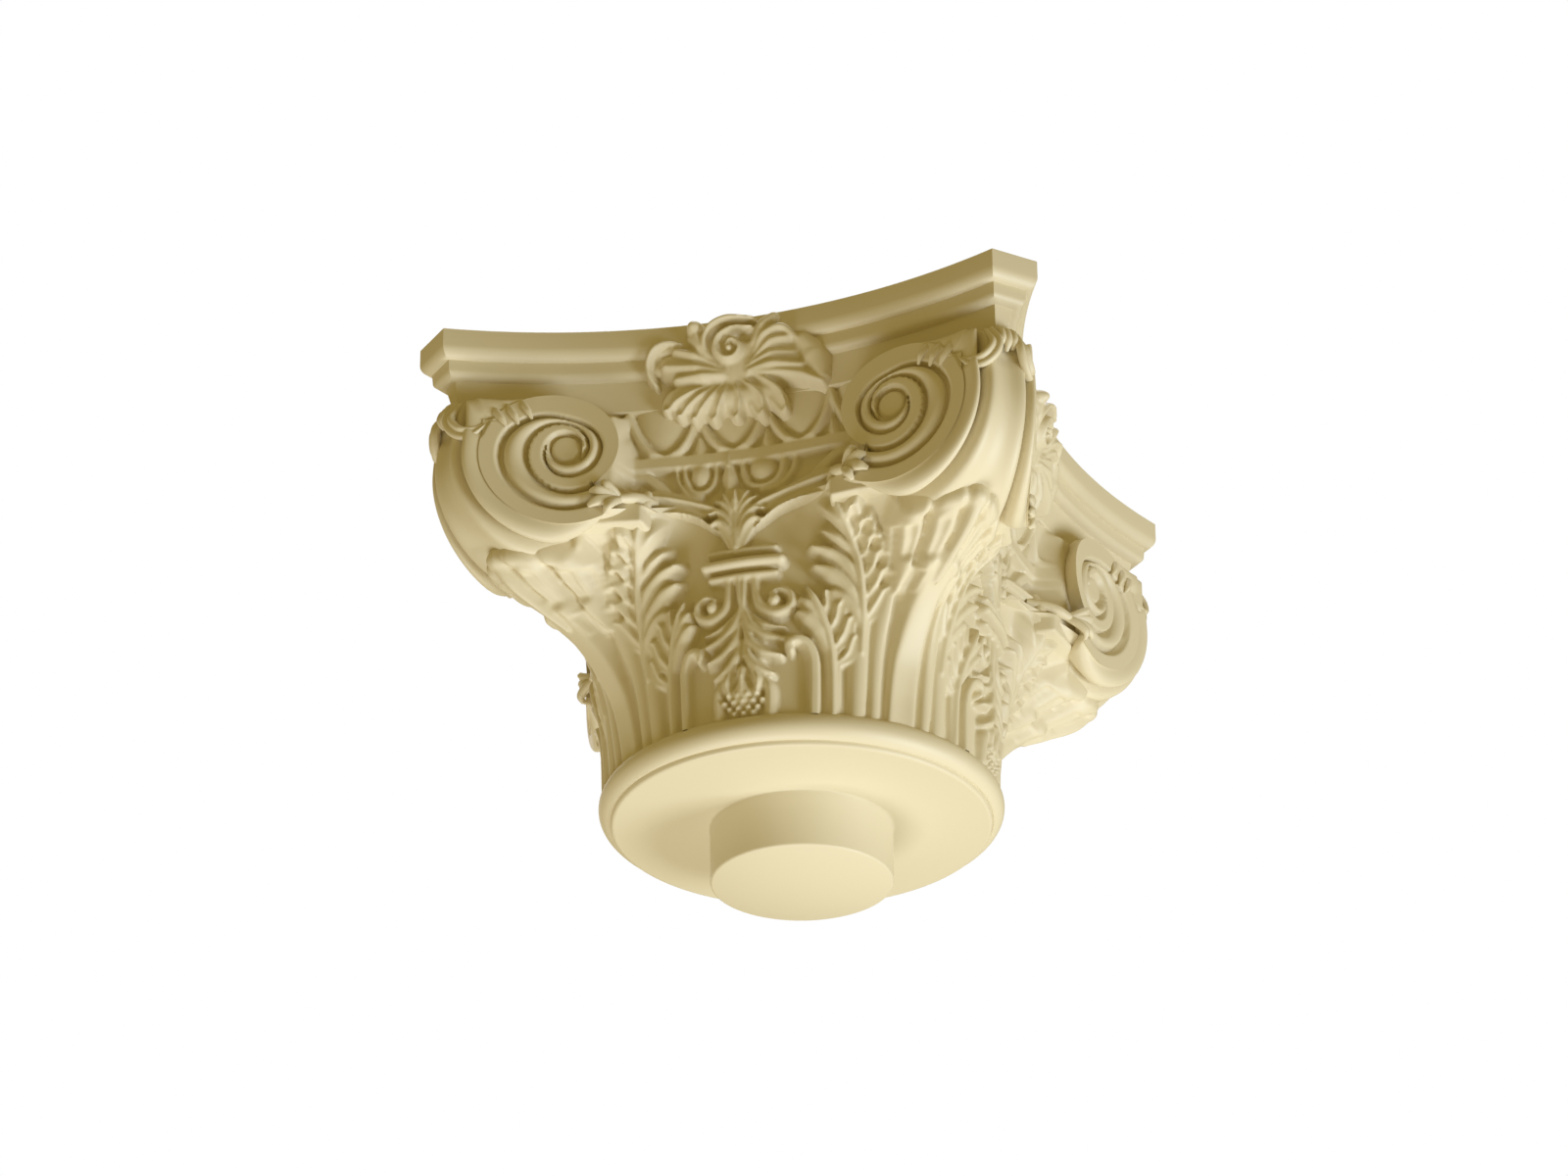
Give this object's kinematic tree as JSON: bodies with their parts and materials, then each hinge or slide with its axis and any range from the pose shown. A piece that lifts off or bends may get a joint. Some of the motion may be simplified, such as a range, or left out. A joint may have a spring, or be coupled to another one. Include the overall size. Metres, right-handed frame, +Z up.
{
  "type": "corinthian capital",
  "caption": "Cast column capital: hollow-sided abacus, corner volutes, egg moulding and acanthus leaves round a bell, on a torus neck with a round spigot below.",
  "frame": {"origin": "centre of the spigot's flat end face, the lowest point, on which the capital stands", "axes": "+Z up along the column axis towards the abacus; -Y is the front face shown in the camera view; the four faces are alike, each turned 90 degrees about Z"},
  "size_m": [0.4, 0.4, 0.318],
  "materials": {
    "cast_plaster": "matte cast plaster in warm cream, chalky, with a khaki tone in the hollows and a few air pits on the flat underside"
  },
  "bodies": {
    "root": {"capital": "cast_plaster"}
  },
  "joints": []
}
